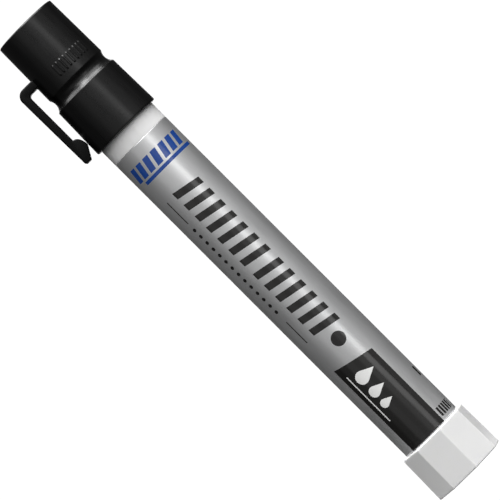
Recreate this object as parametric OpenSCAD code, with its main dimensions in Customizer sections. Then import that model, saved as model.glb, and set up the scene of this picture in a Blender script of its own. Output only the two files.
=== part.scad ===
// Twist-up solid paint marker, capped and standing on its knob, in millimetres.
// Z is the long axis: z = 0 is the flat end of the knob and the cap's closed end is on top.
// The pocket clip lies on the -X side.

/* [Knob] */
// Height of the octagonal knob
knob_h = 13; // [10:0.5:20]
// How far the knob's flats stand out beyond the barrel at its flat end
knob_over = 1; // [0.7:0.05:3]
// How much narrower the knob is across its flats at the barrel
knob_taper = 0.45; // [0.1:0.05:0.8]
// Bevel of the knob's two rims
knob_bevel = 0.55; // [0.2:0.05:1.2]
// Number of flats
knob_sides = 8; // [6:1:12]
// Angle at which the knob stands when the marker is new
knob_angle = 10.3; // [0:0.1:45]

/* [Barrel] */
// Outside diameter of the barrel
barrel_d = 16.95; // [15:0.05:22]
// Wall of the barrel
barrel_wall = 1.775; // [1.6:0.025:2]
// Length of the barrel from its foot to the shoulder that the cap meets
body_len = 104.25; // [80:0.25:140]
// Step from the barrel down to the neck under the cap
neck_step = 0.6; // [0.45:0.05:0.7]
// How far the bead on the neck stands out
neck_bead = 0.22; // [0.1:0.02:0.24]
// Height of the bead on the neck
bead_h = 1.4; // [0.6:0.1:3]
// Rounding of the barrel's mouth
neck_edge = 0.4; // [0.2:0.05:0.5]
// Depth of the socket in the barrel's foot
socket_h = 4; // [3.4:0.2:6]
// Thickness of the floor that carries the spindle
floor_t = 2; // [1.2:0.2:4]
// Width of each keyway in the barrel's bore
key_w = 2.2; // [1.8:0.1:3]
// Depth of each keyway
key_depth = 0.6; // [0.4:0.05:0.7]

/* [Label] */
// Thickness of the label sleeve
label_t = 0.08; // [0.05:0.01:0.15]
// Bare strip between the foot of the barrel and the label
label_low = 0.3; // [0.1:0.1:2]
// Bare band of the barrel between the label and the cap
label_high = 4.75; // [1:0.25:20]

/* [Screw and carrier] */
// Rise of the thread in one turn
pitch = 4; // [3.5:0.5:6]
// Mean diameter of the spindle's thread
thread_d = 4.3; // [3.8:0.1:4.4]
// Height of the rounded thread above and below its mean
thread_amp = 0.45; // [0.3:0.05:0.5]
// Diameter of the spindle's collar
collar_d = 9; // [7:0.2:11]
// Thickness of the spindle's collar
collar_t = 1.6; // [1:0.2:3]
// Diameter of the spindle where it runs in the floor
journal_d = 5.8; // [5.6:0.1:7]
// Step from the spindle's journal down to the corners of its drive end
drive_step = 0.2; // [0.1:0.05:0.6]
// Length of the drive end
drive_len = 9; // [6:0.5:11]
// Free height between the top of the spindle and the mouth of the barrel
screw_low = 8; // [5:0.5:20]
// Thickness of the carrier's plate
plate_t = 2.4; // [1.6:0.2:4]
// Height of the carrier's nut above its plate
nut_h = 6; // [4.5:0.5:10]
// Wall of the nut outside its thread
nut_wall = 1.35; // [1:0.05:1.5]
// Height of the carrier's rim above its plate
rim_h = 5; // [3:0.5:8]
// Thickness of the carrier's rim
rim_t = 0.65; // [0.5:0.05:0.8]

/* [Paint] */
// How far the tip stands out of the barrel when new
tip_out = 2; // [0.5:0.1:2.6]
// Height of the rounded tip
tip_h = 2.2; // [1:0.1:4]
// Clearance of the stick's bore around the spindle
core_gap = 0.4; // [0.3:0.05:0.8]
// Free height in the stick above the spindle
core_room = 1; // [0.4:0.1:3]

/* [Cap] */
// Wall of the bell at its mouth
bell_wall = 1.425; // [1.2:0.025:2]
// How much narrower the bell is at its top
bell_taper = 0.6; // [0.2:0.1:0.8]
// Depth of the wide bore, from the mouth to its ledge
bell_depth = 12.6; // [12:0.1:13]
// Wider mouth of the bore that leads the barrel in
bell_lead = 0.2; // [0.1:0.05:0.4]
// Height of the middle of the waist above the ledge
waist_rise = 3.3; // [2.8:0.1:4.5]
// Depth of the waist below the head
waist_deep = 0.5; // [0.4:0.05:0.9]
// Radius of the waist's hollow on its bell side
waist_arc = 2.6; // [2.2:0.1:4]
// Radius of the waist's hollow on its head side
waist_turn = 2.85; // [2.2:0.05:3.4]
// Length of the head above the middle of the waist
head_len = 19; // [16:0.1:30]
// Wall of the head above the waist
head_wall = 2; // [1.9:0.05:2.3]
// How much narrower the head is at its top
head_taper = 0.46; // [0.1:0.02:0.6]
// Thickness of the cap's closed end
end_t = 1.8; // [1:0.1:2.4]
// Rounding of the cap's outer edges
cap_edge = 0.4; // [0.2:0.05:0.6]
// Thickness of the seal ring in the cap
seal_t = 0.6; // [0.4:0.1:1]

/* [Clip] */
// How far the clip's outer face stands out beyond the head
clip_reach = 4.85; // [4.4:0.05:7]
// Thickness of the clip's arm
clip_t = 2.2; // [1.8:0.1:2.4]
// How much thinner the arm is at its tip
clip_thin = 0.3; // [0:0.05:0.5]
// Thickness of the root that joins the clip to the cap
root_t = 2.3; // [2:0.1:2.5]
// Height of the root above the middle of the waist
root_rise = 7.05; // [5:0.05:12]
// Height of the clip's tip above the cap's mouth
tip_rise = 0.4; // [0.3:0.1:2]
// Width of the clip
clip_w = 5.6; // [4:0.2:7]
// Rounding of the outside of the bend
bend_out = 2.2; // [1.6:0.1:2.6]
// Rounding of the inside of the bend
bend_in = 0.9; // [0.4:0.1:1.4]
// Height of the bump's crest above the cap's mouth
bump_h = 3.75; // [3.5:0.05:7]
// Length of the bump's rounded upper side
bump_run = 3; // [1.5:0.1:4]
// Thickness of the clip's end face
clip_end = 1.85; // [1.2:0.05:2.2]
// Bevel of the clip's tip
clip_edge = 0.4; // [0.2:0.1:0.6]

/* [Clearances] */
// Gap between a turning piece and what it faces
turn_gap = 0.2; // [0.1:0.05:0.3]
// Radial clearance of the spindle in the floor
journal_gap = 0.1; // [0.05:0.01:0.1]
// Radial clearance of the knob's spigot in the barrel
spigot_gap = 0.3; // [0.25:0.05:0.4]
// Clearance of the drive end in the knob
drive_gap = 0.05; // [0.02:0.01:0.1]
// Clearance between the two threads
thread_gap = 0.35; // [0.3:0.05:0.4]
// Clearance of the carrier in the barrel and its keyways
lift_gap = 0.3; // [0.2:0.05:0.35]
// Radial clearance of the paint stick in the barrel
stick_gap = 0.3; // [0.25:0.05:0.5]
// Radial clearance of the paint stick in the cap's head
head_gap = 0.4; // [0.3:0.05:0.6]
// Radial clearance of the cap on the barrel's neck
cap_gap = 0.3; // [0.28:0.02:0.4]
// Gap between the cap's rim and the barrel's shoulder
stop_gap = 0.05; // [0.02:0.01:0.1]
// Clearance of the paint in the carrier's rim and around its nut
paint_gap = 0.1; // [0.05:0.05:0.2]
// Gap between the barrel's mouth and the seal
seal_gap = 0.05; // [0.02:0.01:0.1]
// Radial clearance of the seal ring in the cap
ring_gap = 0.1; // [0.05:0.05:0.2]
// Clearance around the clip's root
root_gap = 0.1; // [0.05:0.01:0.1]
// Gap between the bump and the bell
bump_gap = 0.2; // [0.1:0.05:0.4]

/* [Seal ring on the knob] */
// Thickness of the ring on the knob's spigot
oring_t = 1.2; // [0.9:0.1:1.4]
// How far the ring stands out of its groove
oring_out = 0.15; // [0.05:0.05:0.2]
// Clearance of the ring in its groove
oring_gap = 0.1; // [0.05:0.05:0.2]

/* [Hidden] */
$fn = 96;
// A little extra for cutters
eps = 0.01;
over = 1;
// Steps of the thread: around the spindle and along one turn
thread_n = 16;
thread_steps = 5;
// Steps of a rounded edge
arc_n = 8;

// Diameters from the barrel inwards and outwards
barrel_bore = barrel_d - 2 * barrel_wall;
neck_d = barrel_d - 2 * neck_step;
stick_d = barrel_bore - 2 * stick_gap;
knob_flats = barrel_d + 2 * knob_over;
bell_bore = neck_d + 2 * cap_gap;
bell_d = bell_bore + 2 * bell_wall;
head_bore = stick_d + 2 * head_gap;
head_d = head_bore + 2 * head_wall;
waist_d = head_d - 2 * waist_deep;
crest_d = thread_d + 2 * thread_amp;
nut_d = crest_d + 2 * (thread_gap + nut_wall);
stick_bore = crest_d + 2 * core_gap;
drive_d = journal_d - 2 * drive_step;

// Heights above the cap's mouth
waist_h = bell_depth + waist_rise;
root_h = waist_h + root_rise;
cap_len = waist_h + head_len;

// Heights from the knob upwards
z_barrel = knob_h + turn_gap;
z_floor = z_barrel + socket_h;
z_floor_top = z_floor + floor_t;
z_collar = z_floor_top + turn_gap;
z_collar_top = z_collar + collar_t;
z_lift = z_collar_top + turn_gap;
z_foot = z_lift + plate_t;
z_neck = z_barrel + body_len;
z_cap = z_neck + stop_gap;
z_ledge = z_cap + bell_depth;
z_seal = z_ledge - seal_t;
z_mouth = z_seal - seal_gap;
z_screw_top = z_mouth - screw_low;
z_tip = z_mouth + tip_out;
z_label = z_barrel + label_low;
z_label_top = z_neck - label_high;
z_spigot = z_floor - turn_gap;
z_drive = z_spigot - drive_len;

// Radii that follow from the sizes above
bore_r = barrel_bore / 2;
spigot_r = bore_r - spigot_gap;
lift_r = bore_r - lift_gap;
key_r = bore_r + key_depth;
stick_r = stick_d / 2;
rim_in = lift_r - rim_t;
foot_r = rim_in - paint_gap;
foot_bore = nut_d / 2 + paint_gap;
oring_r = oring_t / 2;
oring_mid = spigot_r + oring_out - oring_r;
oring_z = z_barrel + (z_spigot - z_barrel) / 2;

// Shape of the cap above its mouth
bell_top = bell_d / 2 - bell_taper / 2;
head_low = head_d / 2;
head_top = head_low - head_taper / 2;
arc_mid = waist_d / 2 + waist_arc;
turn_mid = waist_d / 2 + waist_turn;
bell_dip = acos((arc_mid - bell_top) / waist_arc);
head_dip = acos((turn_mid - head_low) / waist_turn);
bell_high = waist_h - waist_arc * sin(bell_dip);
head_z = waist_h + waist_turn * sin(head_dip);
// Radius of the bell and of the head at a height above the mouth
function bell_at(h) = bell_d / 2 - bell_taper / 2 * h / bell_high;
function head_at(h) = head_low - head_taper / 2 * (h - head_z) / (cap_len - head_z);

// Shape of the clip
root_r = root_t / 2;
root_x = head_at(root_h) - root_gap;
clip_out = head_low + clip_reach;
clip_in = clip_out - clip_t;
bump_x = bell_at(bump_h) + bump_gap;

// Points of a round stretch
function arc(x, y, rx, ry, a0, a1) =
    [for (i = [0:arc_n]) let (a = a0 + (a1 - a0) * i / arc_n) [x + rx * cos(a), y + ry * sin(a)]];

// Radius of the left-hand thread at an angle and a height
function thread_at(a, z, grow) = thread_d / 2 + grow + thread_amp * cos(a + 360 * z / pitch);

// Solid thread between two heights, wider by grow than the spindle
module thread(z0, z1, grow) {
    n = ceil((z1 - z0) / pitch * thread_steps);
    m = thread_n;
    ring = [
        for (k = [0:n])
            for (j = [0:m - 1])
                let (z = z0 + (z1 - z0) * k / n, a = 360 * j / m, r = thread_at(a, z, grow))
                    [r * cos(a), r * sin(a), z]
    ];
    low = len(ring);
    high = low + 1;
    sides = [
        for (k = [0:n - 1])
            for (j = [0:m - 1])
                let (i = (j + 1) % m)
                    each [
                        [k * m + j, (k + 1) * m + j, (k + 1) * m + i],
                        [k * m + j, (k + 1) * m + i, k * m + i]
                    ]
    ];
    ends = [
        for (j = [0:m - 1])
            let (i = (j + 1) % m)
                each [[low, j, i], [high, n * m + i, n * m + j]]
    ];
    polyhedron(points = concat(ring, [[0, 0, z0], [0, 0, z1]]), faces = concat(sides, ends));
}

// Ring between two radii and two heights
module ring(r_in, r_out, z0, z1) {
    translate([0, 0, z0])
        difference() {
            cylinder(h = z1 - z0, r = r_out);
            translate([0, 0, -over])
                cylinder(h = z1 - z0 + 2 * over, r = r_in);
        }
}

// Half-space beyond a point of the knob's flat, leaning by an angle
module flat_cut(x, z, lean) {
    big = 2 * knob_flats;
    translate([x, 0, z])
        rotate([0, lean, 0])
            translate([0, -big / 2, -big / 2])
                cube([big, big, big]);
}

// Octagonal knob with draft and bevelled rims
module knob_block() {
    half = knob_flats / 2;
    half_top = half - knob_taper / 2;
    draft = atan(knob_taper / 2 / knob_h);
    rotate(knob_angle)
        difference() {
            cylinder(h = knob_h, r = half / cos(180 / knob_sides), $fn = knob_sides);
            for (k = [0:knob_sides - 1])
                rotate((k + 0.5) * 360 / knob_sides) {
                    flat_cut(half, 0, -draft);
                    flat_cut(half - knob_bevel, 0, 45);
                    flat_cut(half_top - knob_bevel, knob_h, -45);
                }
        }
}

module twist_knob() {
    color("white")
        difference() {
            union() {
                knob_block();
                translate([0, 0, knob_h - over])
                    cylinder(h = z_spigot - knob_h + over, r = spigot_r);
            }
            ring(
                oring_mid - oring_r - oring_gap,
                spigot_r + over,
                oring_z - oring_r - oring_gap,
                oring_z + oring_r + oring_gap
            );
            translate([0, 0, z_drive])
                cylinder(h = drive_len + over, r = drive_d / 2 + drive_gap, $fn = 6);
        }
}

module knob_seal() {
    color("dimgray")
        translate([0, 0, oring_z])
            rotate_extrude()
                translate([oring_mid, 0])
                    circle(r = oring_r);
}

module lead_screw() {
    color("gainsboro")
        union() {
            translate([0, 0, z_drive])
                cylinder(h = drive_len + eps, r = drive_d / 2, $fn = 6);
            translate([0, 0, z_spigot])
                cylinder(h = z_collar - z_spigot + eps, r = journal_d / 2);
            translate([0, 0, z_collar])
                cylinder(h = collar_t, r = collar_d / 2);
            thread(z_collar_top - collar_t / 2, z_screw_top, 0);
        }
}

// Outside of the barrel: tube with the label's recess, shoulder, neck, bead and rounded mouth
module barrel_outside() {
    r = barrel_d / 2;
    n = neck_d / 2;
    bead_z = (z_neck + z_mouth) / 2;
    rotate_extrude()
        polygon(concat(
            [[0, z_barrel], [r, z_barrel], [r, z_label], [r - label_t, z_label]],
            [[r - label_t, z_label_top], [r, z_label_top], [r, z_neck], [n, z_neck]],
            arc(n, bead_z, neck_bead, bead_h / 2, -90, 90),
            arc(n - neck_edge, z_mouth - neck_edge, neck_edge, neck_edge, 0, 90),
            [[0, z_mouth]]
        ));
}

module barrel() {
    color("white")
        difference() {
            barrel_outside();
            translate([0, 0, z_barrel - over])
                cylinder(h = socket_h + over, r = bore_r);
            translate([0, 0, z_floor - over])
                cylinder(h = floor_t + 2 * over, r = journal_d / 2 + journal_gap);
            translate([0, 0, z_floor_top])
                cylinder(h = z_mouth - z_floor_top + over, r = bore_r);
            translate([-key_w / 2, -key_r, z_floor_top])
                cube([key_w, 2 * key_r, z_mouth - z_floor_top + over]);
        }
}

module label_wrap() {
    color("silver")
        ring(barrel_d / 2 - label_t, barrel_d / 2, z_label, z_label_top);
}

module elevator() {
    color("gainsboro")
        difference() {
            union() {
                translate([0, 0, z_lift])
                    cylinder(h = plate_t, r = lift_r);
                translate([-key_w / 2 + lift_gap, -key_r + lift_gap, z_lift])
                    cube([key_w - 2 * lift_gap, 2 * (key_r - lift_gap), plate_t]);
                translate([0, 0, z_lift])
                    cylinder(h = plate_t + nut_h, r = nut_d / 2);
                ring(rim_in, lift_r, z_foot - eps, z_foot + rim_h);
            }
            thread(z_lift - over, z_foot + nut_h + over, thread_gap);
        }
}

module paint_stick() {
    dome = (stick_r * stick_r + tip_h * tip_h) / (2 * tip_h);
    half = asin(stick_r / dome);
    color("ivory")
        difference() {
            rotate_extrude()
                polygon(concat(
                    [
                        [0, z_foot],
                        [foot_r, z_foot],
                        [foot_r, z_foot + rim_h + paint_gap],
                        [stick_r, z_foot + rim_h + paint_gap]
                    ],
                    arc(0, z_tip - dome, dome, dome, 90 - half, 90)
                ));
            translate([0, 0, z_foot - over])
                cylinder(h = nut_h + paint_gap + over, r = foot_bore);
            translate([0, 0, z_foot])
                cylinder(h = z_screw_top + core_room - z_foot, r = stick_bore / 2);
        }
}

// Outside of the cap above its mouth
module cap_outside() {
    rotate_extrude()
        polygon(concat(
            [[0, 0]],
            arc(bell_d / 2 - cap_edge, cap_edge, cap_edge, cap_edge, -90, 0),
            arc(arc_mid, waist_h, waist_arc, waist_arc, 180 + bell_dip, 180),
            arc(turn_mid, waist_h, waist_turn, waist_turn, 180 - head_dip / arc_n, 180 - head_dip),
            arc(head_top - cap_edge, cap_len - cap_edge, cap_edge, cap_edge, 0, 90),
            [[0, cap_len]]
        ));
}

module cap_shell() {
    color("black")
        translate([0, 0, z_cap])
            difference() {
                cap_outside();
                translate([0, 0, -over])
                    cylinder(h = bell_depth + over, r = bell_bore / 2);
                translate([0, 0, -eps])
                    cylinder(h = bell_lead, r1 = bell_bore / 2 + bell_lead, r2 = bell_bore / 2);
                cylinder(h = cap_len - end_t, r = head_bore / 2);
                translate([-root_x, 0, root_h])
                    rotate([90, 0, 0])
                        cylinder(h = clip_w + 2 * root_gap, r = root_r + root_gap, center = true);
            }
}

module cap_seal() {
    color("dimgray")
        ring(head_bore / 2, bell_bore / 2 - ring_gap, z_seal, z_ledge);
}

// Side view of the clip: x is minus the distance from the axis, y the height above the mouth
module clip_side() {
    top = root_h + root_r;
    under = root_h - root_r;
    tip_x = clip_out - clip_thin;
    polygon(concat(
        [[-root_x, under], [-root_x, top]],
        arc(-clip_out + bend_out, top - bend_out, bend_out, bend_out, 90, 180),
        [
            [-tip_x, tip_rise + clip_edge],
            [-tip_x + clip_edge, tip_rise],
            [-tip_x + clip_end, tip_rise]
        ],
        arc(-clip_in, bump_h, clip_in - bump_x, bump_run, 0, 90),
        arc(-clip_in + bend_in, under - bend_in, bend_in, bend_in, 180, 90)
    ));
}

module pocket_clip() {
    color("black")
        translate([0, 0, z_cap]) {
            rotate([90, 0, 0])
                translate([0, 0, -clip_w / 2])
                    linear_extrude(height = clip_w)
                        clip_side();
            translate([-root_x, 0, root_h])
                rotate([90, 0, 0])
                    cylinder(h = clip_w, r = root_r, center = true);
        }
}

twist_knob();
knob_seal();
lead_screw();
barrel();
label_wrap();
elevator();
paint_stick();
cap_shell();
cap_seal();
pocket_clip();
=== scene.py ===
"""Twist-feed paint marker with a push-on cap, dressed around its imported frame.

Lengths in the sub-assemblies and finishes are in millimetres, those of the
studio in metres, and angles are in degrees where nothing else is said. The
marker stands on its knob along Z, the viewer stands on the -Y side and the
pocket clip is on -X. Angles round the axis start at -Y and grow towards +X.
"""

import logging
import math
from abc import ABC, abstractmethod
from collections.abc import Callable, Iterable, Sequence
from dataclasses import dataclass
from enum import Enum
from typing import ClassVar

import bmesh
import bpy
from mathutils import Matrix, Vector, noise


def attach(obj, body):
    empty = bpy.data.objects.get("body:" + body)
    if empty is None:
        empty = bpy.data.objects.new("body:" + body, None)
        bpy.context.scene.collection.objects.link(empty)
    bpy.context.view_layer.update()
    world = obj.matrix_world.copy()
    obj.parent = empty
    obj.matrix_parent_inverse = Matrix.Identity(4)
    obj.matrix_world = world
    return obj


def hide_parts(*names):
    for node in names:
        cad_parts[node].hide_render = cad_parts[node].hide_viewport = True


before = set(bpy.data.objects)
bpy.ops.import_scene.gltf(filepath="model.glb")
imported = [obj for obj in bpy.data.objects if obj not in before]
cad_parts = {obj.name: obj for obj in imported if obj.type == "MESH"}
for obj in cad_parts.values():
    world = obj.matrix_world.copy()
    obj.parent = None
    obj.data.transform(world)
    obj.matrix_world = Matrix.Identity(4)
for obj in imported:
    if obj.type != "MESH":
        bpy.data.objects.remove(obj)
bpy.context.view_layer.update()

LOG = logging.getLogger("paint_marker")
MM = 0.001

# Distance from the ends of a long straight to the points that hold it flat
HOLD = 0.25
# Straights longer than this get such points
LONG = 4 * HOLD
# Edges that turn by more than this stay crisp
CRISP = 32.0
# Most of a noise lies between these values
NOISE_SPAN = (0.3, 0.7)
# Least cosine at a corner that is drawn in, so that sharp corners don't run far
LEAST_LEAN = 0.5
# Turn from corner to corner of a hexagon, in radians
SIXTH = math.pi / 3

# Height of the cap's mouth
CAP_MOUTH = 117.5
# Middle of the clip's root: place along X, and height above the cap's mouth
CLIP_ROOT = (-8.6281, 22.95)
# Name of the stick of paint
STICK = "paint_core"

Pair = tuple[float, float]
Triple = tuple[float, float, float]
Lift = Callable[[float, float], float]
Reach = Callable[[float], float]
Verts = list[bmesh.types.BMVert]
Socket = bpy.types.NodeSocket
Value = Socket | float
Tint = Value | Sequence[float]


class Body(Enum):
    """Moving bodies of the frame."""

    HOLDER = "holder"
    KNOB = "knob"
    FEED = "feed"
    CAP = "cap"
    CLIP = "clip"


class Slot(Enum):
    """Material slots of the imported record."""

    WHITE = "white_plastic"
    BLACK = "black_plastic"
    LABEL = "silver_label"
    NATURAL = "natural_plastic"
    PAINT = "white_paint"


class Op(Enum):
    """Operations of a maths node."""

    ADD = "ADD"
    TAKE = "SUBTRACT"
    TIMES = "MULTIPLY"
    OVER = "DIVIDE"
    LESS = "LESS_THAN"
    MORE = "GREATER_THAN"
    NEAR = "COMPARE"
    HIGH = "MAXIMUM"
    FRACT = "FRACT"
    ABS = "ABSOLUTE"
    ANGLE = "ARCTAN2"


# Outlines


@dataclass(frozen=True)
class Corner:
    """A corner of an outline with its rounding."""

    x: float
    y: float
    r: float = 0.0

    def spot(self) -> Vector:
        """Place of the corner."""
        return Vector((self.x, self.y))


def arc(mid: Pair, radii: Pair, span: Pair, steps: int) -> list[Pair]:
    """Points of an oval stretch.

    Args:
        mid: Centre of the stretch.
        radii: Half widths along x and y.
        span: First and last angle.
        steps: Number of steps between them.

    Returns:
        The points, both ends included.
    """
    points = []
    for k in range(steps + 1):
        a = math.radians(span[0] + (span[1] - span[0]) * k / steps)
        points.append((mid[0] + radii[0] * math.cos(a), mid[1] + radii[1] * math.sin(a)))
    return points


def bow(mid: Pair, r: float, span: Pair, steps: int) -> list[Pair]:
    """Points of a round stretch, both ends included."""
    return arc(mid, (r, r), span, steps)


def corners(points: Iterable[Pair]) -> list[Corner]:
    """Sharp corners at the given points."""
    return [Corner(x, y) for x, y in points]


def held(points: Sequence[Pair], closed: bool) -> list[Pair]:
    """An outline with a point close to each end of its long straights, so that they shade flat.

    Args:
        points: Points of the outline.
        closed: Whether the last point joins the first.

    Returns:
        The points with those added.
    """
    filled: list[Pair] = []
    for i, point in enumerate(points):
        filled.append(point)
        after = points[(i + 1) % len(points)]
        length = math.dist(point, after)
        if length > LONG and (closed or i + 1 < len(points)):
            for share in (HOLD / length, 1 - HOLD / length):
                filled.append(tuple(a + (b - a) * share for a, b in zip(point, after)))
    return filled


def rounded(outline: Sequence[Corner], steps: int = 5, closed: bool = True) -> list[Pair]:
    """Points of an outline with its corners rounded.

    Args:
        outline: Corners in order.
        steps: Steps of one rounding.
        closed: Whether the last corner joins the first.

    Returns:
        The points in order.
    """
    points: list[Pair] = []
    count = len(outline)
    for i, corner in enumerate(outline):
        end = not closed and i in (0, count - 1)
        if corner.r <= 0 or end:
            points.append((corner.x, corner.y))
            continue
        here = corner.spot()
        back = (outline[i - 1].spot() - here).normalized()
        ahead = (outline[(i + 1) % count].spot() - here).normalized()
        half = back.angle(ahead) / 2
        mid = here + (back + ahead).normalized() * (corner.r / math.sin(half))
        start = here + back * (corner.r / math.tan(half)) - mid
        stop = here + ahead * (corner.r / math.tan(half)) - mid
        first = math.atan2(start.y, start.x)
        sweep = (math.atan2(stop.y, stop.x) - first + math.pi) % math.tau - math.pi
        for k in range(steps + 1):
            a = first + sweep * k / steps
            points.append((mid.x + corner.r * math.cos(a), mid.y + corner.r * math.sin(a)))
    return held(points, closed)


def inset(points: Sequence[Pair], depth: float) -> list[Pair]:
    """A closed outline, counter-clockwise, drawn in by a small depth.

    Args:
        points: Points of the outline.
        depth: How far each side moves inwards.

    Returns:
        As many points as before.
    """
    moved = []
    for i, point in enumerate(points):
        here = Vector(point)
        into = (here - Vector(points[i - 1])).normalized()
        out = (Vector(points[(i + 1) % len(points)]) - here).normalized()
        left = (Vector((-into.y, into.x)) + Vector((-out.y, out.x))).normalized()
        lean = max(LEAST_LEAN, left.dot(Vector((-out.y, out.x))))
        spot = here + left * (depth / lean)
        moved.append((spot.x, spot.y))
    return moved


def turns(count: int, dense: Triple | None = None) -> list[float]:
    """Angles once round the axis.

    Args:
        count: Number of even steps round the axis.
        dense: First angle, last angle and step of a stretch with more points.

    Returns:
        The angles in growing order.
    """
    even = [-180 + 360 * k / count for k in range(count)]
    if dense is None:
        return even
    first, last, step = dense
    fine = [first + step * k for k in range(int((last - first) / step) + 1)]
    gap = 180 / count
    return sorted([a for a in even if not first - gap < a < last + gap] + fine)


def turned(profile: Sequence[Pair], angles: Sequence[float], lift: Lift | None = None) -> list[list[Triple]]:
    """Loops of a turned form.

    Args:
        profile: Radius and height of each loop.
        angles: Angles round the axis.
        lift: Extra radius at an angle and a height.

    Returns:
        One loop for each point of the profile.
    """
    loops = []
    for r, z in profile:
        loop = []
        for a in angles:
            here = r + (lift(a, z) if lift else 0.0)
            turn = math.radians(a)
            loop.append((here * math.sin(turn), -here * math.cos(turn), z))
        loops.append(loop)
    return loops


def around(reach: Reach, z: float, ways: Sequence[float]) -> list[Triple]:
    """Loop at a height with its own reach in each way, the ways being in radians from +X."""
    return [(reach(w) * math.cos(w), reach(w) * math.sin(w), z) for w in ways]


def hoop(r: float, z: float, ways: Sequence[float]) -> list[Triple]:
    """Round loop at a height, with its points in the given ways."""
    return around(lambda w: r, z, ways)


def six(r: float) -> Reach:
    """Reach of a hexagon in each way, r at its corners."""
    return lambda w: r * math.cos(SIXTH / 2) / math.cos(w % SIXTH - SIXTH / 2)


def level(points: Iterable[Pair], z: float) -> list[Triple]:
    """Loop of an outline at a height."""
    return [(x, y, z) for x, y in points]


def bearings(points: Iterable[Pair]) -> list[float]:
    """Ways from the axis to the points of an outline, in radians from +X."""
    return [math.atan2(y, x) for x, y in points]


def smooth(edge: float) -> float:
    """Soft step from 0 to 1 as its argument goes from 0 to 1."""
    t = min(1.0, max(0.0, edge))
    return t * t * (3 - 2 * t)


def shade(mesh: bpy.types.Mesh, sharp: float = CRISP) -> None:
    """Shades a mesh smooth and leaves edges crisp that turn by more than the sharp angle."""
    mesh.shade_smooth()
    mesh.set_sharp_from_angle(angle=math.radians(sharp))


class MeshMaker:
    """Joins loops of points, in millimetres, into one mesh object."""

    def __init__(self, name: str) -> None:
        """Starts an empty mesh."""
        self.name = name
        self.bm = bmesh.new()

    def loop(self, points: Iterable[Triple]) -> Verts:
        """Adds the points of one loop."""
        return [self.bm.verts.new(Vector(p) * MM) for p in points]

    def bridge(self, low: Verts, high: Verts) -> None:
        """Joins two loops with a band of faces.

        Args:
            low: First loop.
            high: Second loop, with as many points.
        """
        count = len(low)
        for i in range(count):
            j = (i + 1) % count
            self.bm.faces.new((low[i], low[j], high[j], high[i]))

    def fan(self, loop: Verts, z: float) -> None:
        """Closes a loop with a fan of faces.

        Args:
            loop: The loop to close.
            z: Height of the point on the axis where they meet.
        """
        mid = self.bm.verts.new(Vector((0.0, 0.0, z)) * MM)
        for i, vert in enumerate(loop):
            self.bm.faces.new((vert, loop[(i + 1) % len(loop)], mid))

    def lid(self, loop: Verts) -> None:
        """Closes a loop with one flat face."""
        self.bm.faces.new(loop)

    def tube(self, loops: Iterable[Iterable[Triple]]) -> list[Verts]:
        """Joins loops one after another.

        Args:
            loops: Loops of equal count.

        Returns:
            The vertices of each loop.
        """
        made = [self.loop(points) for points in loops]
        for low, high in zip(made, made[1:]):
            self.bridge(low, high)
        return made

    def make(self, sharp: float = CRISP) -> bpy.types.Object:
        """Writes the mesh to an object in the scene, with its faces looking outwards.

        Args:
            sharp: Angle above which an edge stays crisp.

        Returns:
            The object.
        """
        bmesh.ops.recalc_face_normals(self.bm, faces=self.bm.faces[:])
        if self.bm.calc_volume(signed=True) < 0:
            bmesh.ops.reverse_faces(self.bm, faces=self.bm.faces[:])
        mesh = bpy.data.meshes.new(self.name)
        self.bm.to_mesh(mesh)
        self.bm.free()
        shade(mesh, sharp)
        obj = bpy.data.objects.new(self.name, mesh)
        bpy.context.scene.collection.objects.link(obj)
        return obj


# Finishes


def rgba(colour: Triple, gain: float = 1.0) -> tuple[float, ...]:
    """A colour with full cover, lightened or darkened by a gain."""
    return tuple(min(1.0, c * gain) for c in colour) + (1.0,)


@dataclass(frozen=True)
class Ink:
    """A colour and the two gains that it varies between."""

    colour: Triple
    gains: Pair


@dataclass(frozen=True)
class Cloud:
    """Cloudy noise: the size of its features, its layers of detail, and its scale along the marker."""

    size: float
    detail: float = 3.0
    along: float = 1.0


@dataclass(frozen=True)
class Relief:
    """Fine relief: its depth and the share of it that shows."""

    depth: float
    strength: float


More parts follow.
